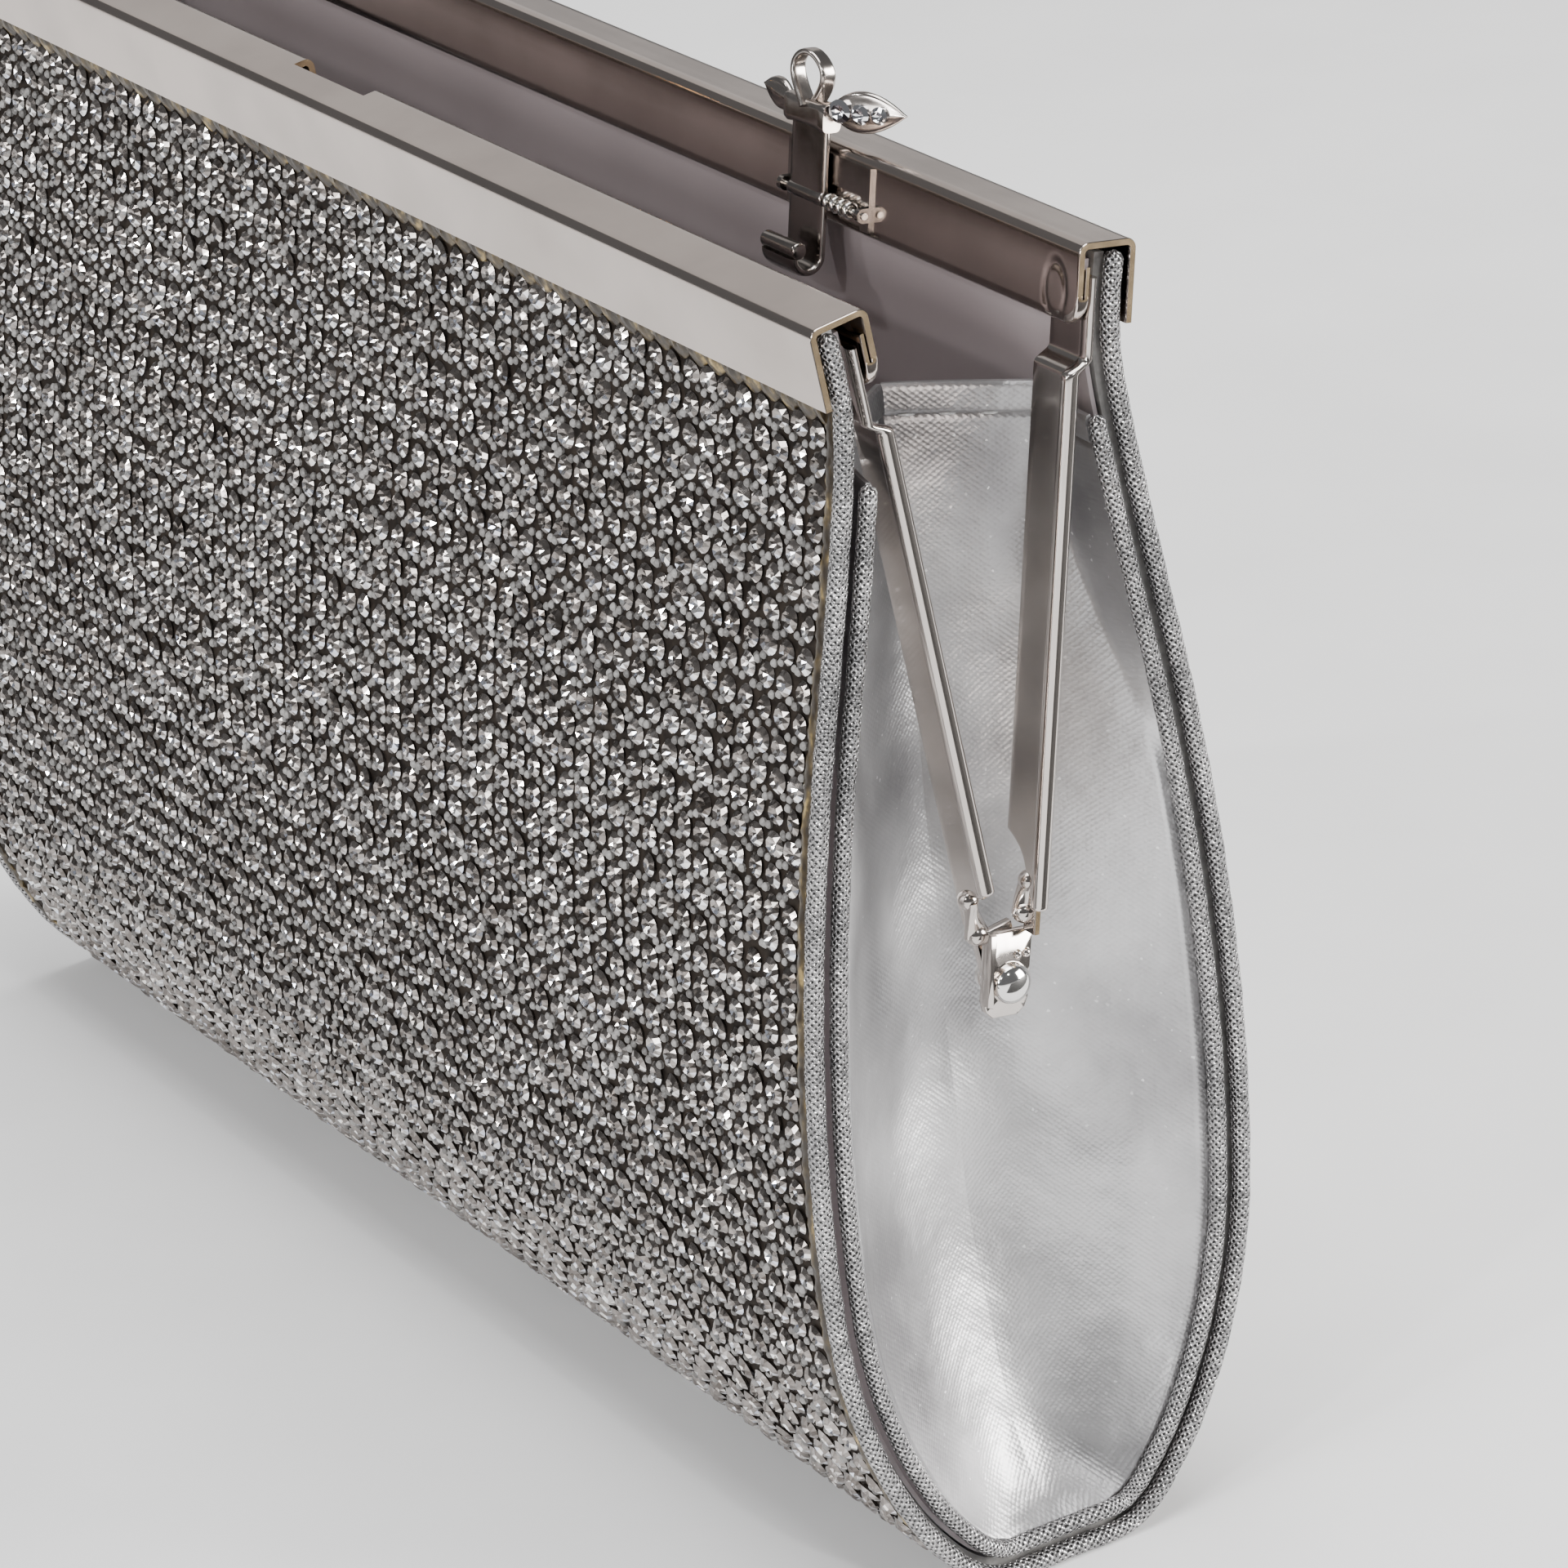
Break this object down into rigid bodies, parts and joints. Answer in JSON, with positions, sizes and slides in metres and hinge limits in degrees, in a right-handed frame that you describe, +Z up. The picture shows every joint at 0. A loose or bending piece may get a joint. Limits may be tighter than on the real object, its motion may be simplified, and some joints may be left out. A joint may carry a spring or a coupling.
{
  "type": "framed evening bag",
  "caption": "Crystal-covered evening clutch on two hinged metal rails, open, with folding end gussets, rolled bindings and a sprung clasp.",
  "frame": {"origin": "middle of the base, on the surface the bag stands on", "axes": "+X along the bag to the end shown nearest, +Y to the side that carries the clasp, +Z up"},
  "size_m": [0.1724, 0.0442, 0.1269],
  "materials": {
    "rail_metal": "polished warm nickel plate",
    "arm_metal": "polished nickel plate",
    "rivet_metal": "polished nickel plate",
    "clasp_metal": "polished dark nickel plate",
    "spring_steel": "bright steel wire",
    "crystal_cloth": "grey cloth set with clear faceted stones and small grey beads",
    "board": "plain grey fibre board",
    "binding": "silver glitter leatherette, finely pricked",
    "gusset_leather": "silver satin leatherette",
    "thread": "silver-grey thread",
    "lining_satin": "grey-mauve satin",
    "bow_stone": "clear faceted stone, foiled back"
  },
  "bodies": {
    "bag": {"pivot_rivets": "rivet_metal", "wrap_base": "crystal_cloth", "base_board": "board", "panel_binding_right": "binding", "panel_binding_left": "binding", "gusset_binding_right": "binding", "gusset_binding_left": "binding", "gusset_top_right": "gusset_leather", "gusset_top_left": "gusset_leather", "gusset_base_right": "gusset_leather", "gusset_base_left": "gusset_leather", "hem_stitches": "thread", "lining": "lining_satin"},
    "front_frame": {"front_rail": "rail_metal", "front_arm_right": "arm_metal", "front_arm_left": "arm_metal", "wrap_front": "crystal_cloth", "front_board": "board"},
    "rear_frame": {"rear_rail": "rail_metal", "rear_arm_right": "arm_metal", "rear_arm_left": "arm_metal", "wrap_rear": "crystal_cloth", "rear_board": "board", "clasp_bracket": "clasp_metal", "clasp_pin": "clasp_metal", "clasp_spring": "spring_steel"},
    "clasp": {"clasp_lever": "clasp_metal", "clasp_bow": "clasp_metal", "bow_stones": "bow_stone"}
  },
  "joints": [
    {"name": "front_hinge", "type": "hinge", "parent": "bag", "child": "front_frame", "pos_m": [0, 0, 0.05515], "axis": [-1, 0, 0], "range_deg": [0, 8.3], "deforming": ["panel_binding_right", "panel_binding_left", "gusset_binding_right", "gusset_binding_left", "gusset_top_right", "gusset_top_left", "hem_stitches", "lining"]},
    {"name": "rear_hinge", "type": "hinge", "parent": "bag", "child": "rear_frame", "pos_m": [0, 0, 0.05515], "axis": [1, 0, 0], "range_deg": [0, 8.3]},
    {"name": "clasp_pivot", "type": "hinge", "parent": "rear_frame", "child": "clasp", "pos_m": [0.0466, 0.0088, 0.1141], "axis": [-1, 0, 0], "range_deg": [-6, 0], "stiffness_Nm_per_rad": 0.02, "springref_deg": 14.32}
  ],
  "couplings": [
    {"joint": "rear_hinge", "follows": "front_hinge", "ratio": 1}
  ]
}
